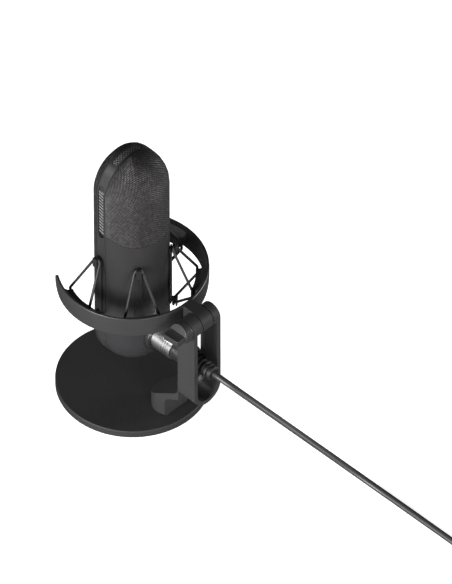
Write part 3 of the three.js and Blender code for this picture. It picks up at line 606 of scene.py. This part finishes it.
# ring and bands
recast("shock_ring", edge=0.25)
band = {"swell": 0.12, "height": 0.12, "ringEnd": 0.047, "bodyEnd": 0.0355}  # swell in mm, the rest in metres
for corner in ("front_left", "front_right", "rear_right", "rear_left"):
    recast("suspension_rail_" + corner, edge=0.15)
    loop = recast("elastic_band_" + corner, angle=180, rides=False, flatten=False)
    for knot in loop.data.vertices:
        knot.co += knot.normal * band["swell"] * mm
    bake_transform(loop)
print("ring and bands made")

# body
for part in ("rear_shell", "side_band", "rear_grille", "front_grille"):
    trueNormals(recast(part, angle=180), bodyNormal)
vent = {"pitch": 3.2, "bar": 1.35, "sink": 1.2, "slant": 12, "spare": 0.25}


def slattedVent(node, k=vent):
    # the strip sinks back behind slanted bars that stand level with the frame
    low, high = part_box(node)
    side = 1 if low.x > 0 else -1
    bm = mergedCopy(node)
    front = high.x if side > 0 else low.x
    outer = [v for v in bm.verts if abs(v.co.x - front) < 0.05 * mm]
    bmesh.ops.translate(bm, verts=outer, vec=(-side * k["sink"] * mm, 0, 0))
    face = front - side * (k["sink"] / 2) * mm
    width = high.y - low.y
    middle = (low.y + high.y) / 2
    count = int((high.z - low.z - width * 0.9) / (k["pitch"] * mm))
    start = (low.z + high.z) / 2 - (count - 1) * k["pitch"] * mm / 2
    lean = math.tan(math.radians(k["slant"]))
    for i in range(count):
        bar = bmesh.ops.create_cube(bm, size=1)["verts"]
        bmesh.ops.scale(bm, verts=bar, vec=(k["sink"] * mm, width - 2 * k["spare"] * mm, k["bar"] * mm))
        for v in bar:
            v.co.z -= v.co.y * lean
        bmesh.ops.translate(bm, verts=bar, vec=(face, middle, start + i * k["pitch"] * mm))
    standsFor(settled(bm, node + "_slats", finishes["slats"]), node)


slattedVent("side_vent_left")
slattedVent("side_vent_right")
trueNormals(recast("top_vent", "holes", angle=180), bodyNormal)
print("body made")

# connectors
def ribbedBoot(length, front, rear):
    # a plain collar, six ribs that grow slimmer, and a lip at the lead's end
    collar, lip, ribs = 3.0, 4.2, 6
    outline = [(0, 0), (front, 0), (front, collar)]
    pitch = (length - collar - lip) / ribs
    for i in range(ribs):
        start = collar + i * pitch
        r = front + (rear - front) * (start / length)
        groove = r - 1.0
        outline += [(groove, start + 0.35), (groove, start + 1.2),
                    (r, start + 1.55), (r - 0.1, start + pitch)]
    outline += [(rear - 0.6, length - 4.0), (rear - 0.6, length - 3.2), (rear + 0.55, length - 2.8),
                (rear + 0.5, length - 0.6), (rear - 0.4, length), (0, length)]
    return outline


def clampBushing(front, length):
    return [(0, 0), (front + 0.3, 0), (front + 0.5, 0.3), (front + 0.42, 2.4), (front + 0.1, 2.6),
            (front + 0.1, 3.1), (front + 0.38, 3.3), (front + 0.05, length - 0.4), (front - 0.3, length),
            (0, length)]


bushingLength = 10
near = {"portZ": leadSizes["exitZ"], "bushingY": 49.0, "bootY": 59.3, "bootLength": 28.6,
        "front": 8.6, "rear": 5.2}
spun("near_bushing", clampBushing(near["front"], bushingLength), "y", (0, near["bushingY"], near["portZ"]),
     "xlr_bushing", edge=0.15)
spun("near_boot", ribbedBoot(near["bootLength"], near["front"] - gap, near["rear"]), "y",
     (0, near["bootY"], near["portZ"]), "xlr_boot", edge=0.2)
recast("xlr_shell", edge=0.2, angle=40)
recast("xlr_socket", edge=0.2)
recast("xlr_latch", edge=0.2)


def toTip(outline, start):  # the far connector points along -Y
    return [(r, -(start + a)) for r, a in outline]


farAt = (leadSizes["farX"], leadSizes["farY"], leadSizes["farZ"])
farBootLength = 30
bootFlip = [(r, farBootLength - a) for r, a in ribbedBoot(farBootLength, near["front"] - gap, near["rear"])]
farBoot = spun("far_boot_ribbed", toTip(bootFlip, 0), "y", farAt, "far_boot", edge=0.2)
bushingFlip = [(r, bushingLength - a) for r, a in clampBushing(near["front"], bushingLength)]
farBushing = spun("far_bushing_turned", toTip(bushingFlip, farBootLength + gap), "y", farAt, "far_bushing",
                  edge=0.15)
farShell = recast("far_shell", "farChrome", edge=0.2, angle=40)
strap = recast("coil_strap", edge=0.5)
print("connectors made")
